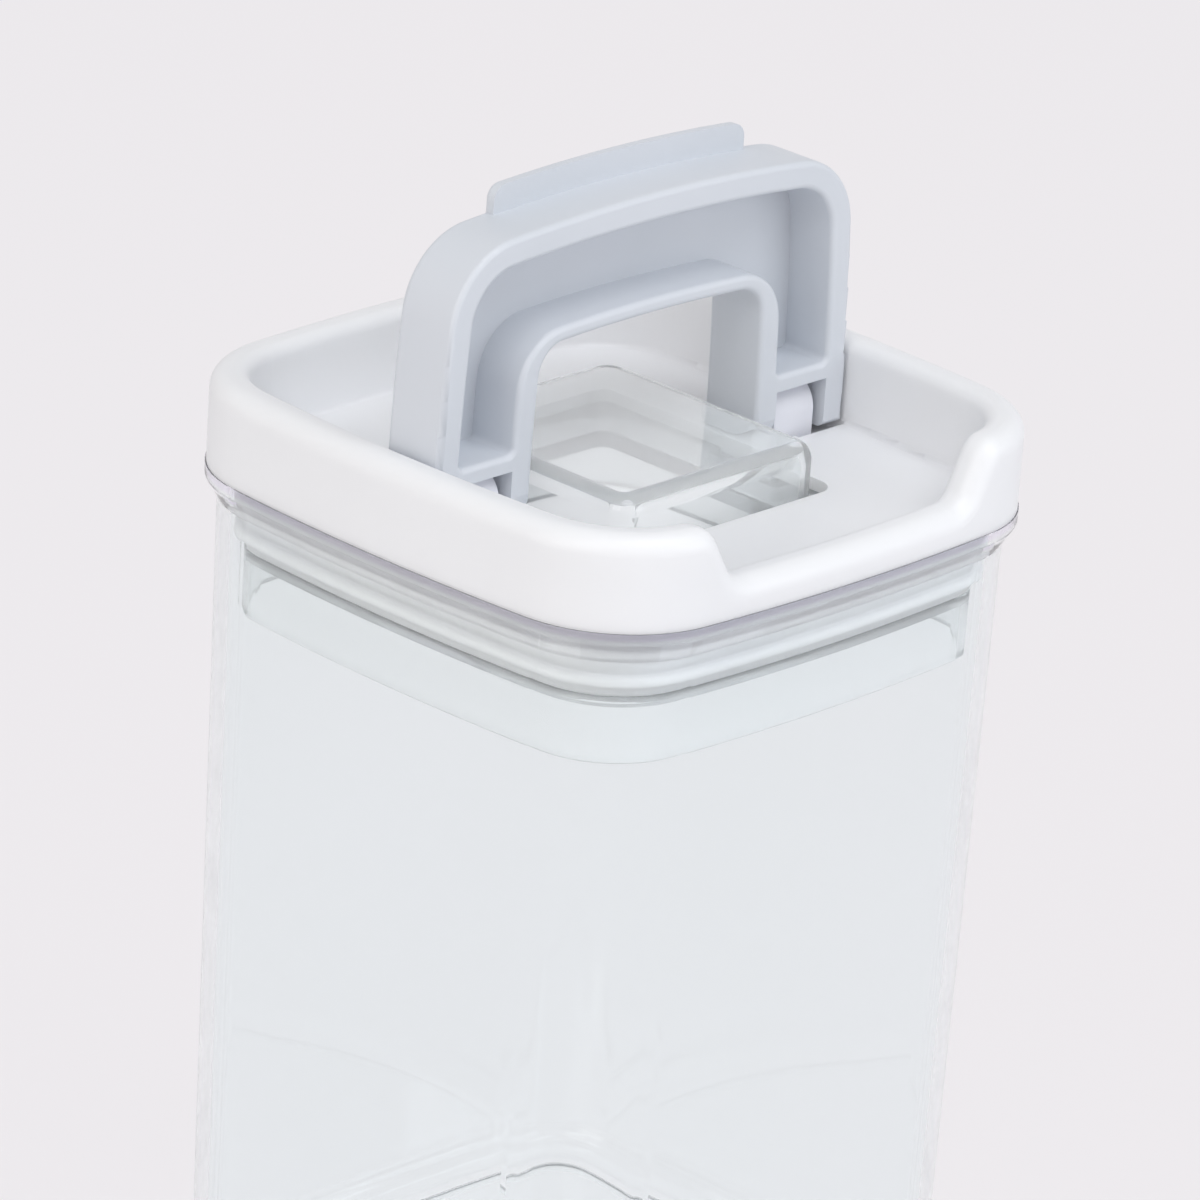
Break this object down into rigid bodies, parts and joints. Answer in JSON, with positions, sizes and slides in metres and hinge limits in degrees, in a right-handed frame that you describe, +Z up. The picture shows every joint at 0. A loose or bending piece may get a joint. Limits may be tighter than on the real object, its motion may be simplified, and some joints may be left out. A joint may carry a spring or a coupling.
{
  "type": "square storage canister with a flip-lock lid",
  "caption": "Clear square food canister with a white lid whose folding lever handle draws up an inner plug and squeezes a seal against the wall.",
  "frame": {"origin": "middle of the container's footprint, on the surface that it stands on", "axes": "+Z up, -Y towards the finger notch at the front of the lid, X along the handle's hinge"},
  "size_m": [0.102, 0.102, 0.1964],
  "materials": {
    "clear_plastic": "clear, polished",
    "cover_plastic": "opaque white, satin gloss",
    "handle_plastic": "pale blue-grey, satin",
    "post_plastic": "opaque white, satin",
    "silicone": "translucent white, soft matte",
    "pin_steel": "plain"
  },
  "bodies": {
    "container": {"container_body": "clear_plastic"},
    "lid": {"lid_cover": "cover_plastic"},
    "plug": {"inner_plug": "clear_plastic", "seal_gasket": "silicone", "hinge_post_left": "post_plastic", "hinge_post_right": "post_plastic", "hinge_pin_left": "pin_steel", "hinge_pin_right": "pin_steel"},
    "handle": {"lever_handle": "handle_plastic"}
  },
  "joints": [
    {"name": "lid_lift", "type": "slide", "parent": "container", "child": "lid", "axis": [0, 0, 1], "range_m": [0, 0.12]},
    {"name": "plug_lift", "type": "slide", "parent": "lid", "child": "plug", "axis": [0, 0, 1], "range_m": [0, 0.00316], "deforming": ["seal_gasket"]},
    {"name": "handle_fold", "type": "hinge", "parent": "plug", "child": "handle", "pos_m": [0, -0.0004, 0.1487], "axis": [1, 0, 0], "range_deg": [0, 90]}
  ],
  "couplings": [
    {"joint": "plug_lift", "follows": "handle_fold", "m_per_rad": 0.0020054}
  ]
}
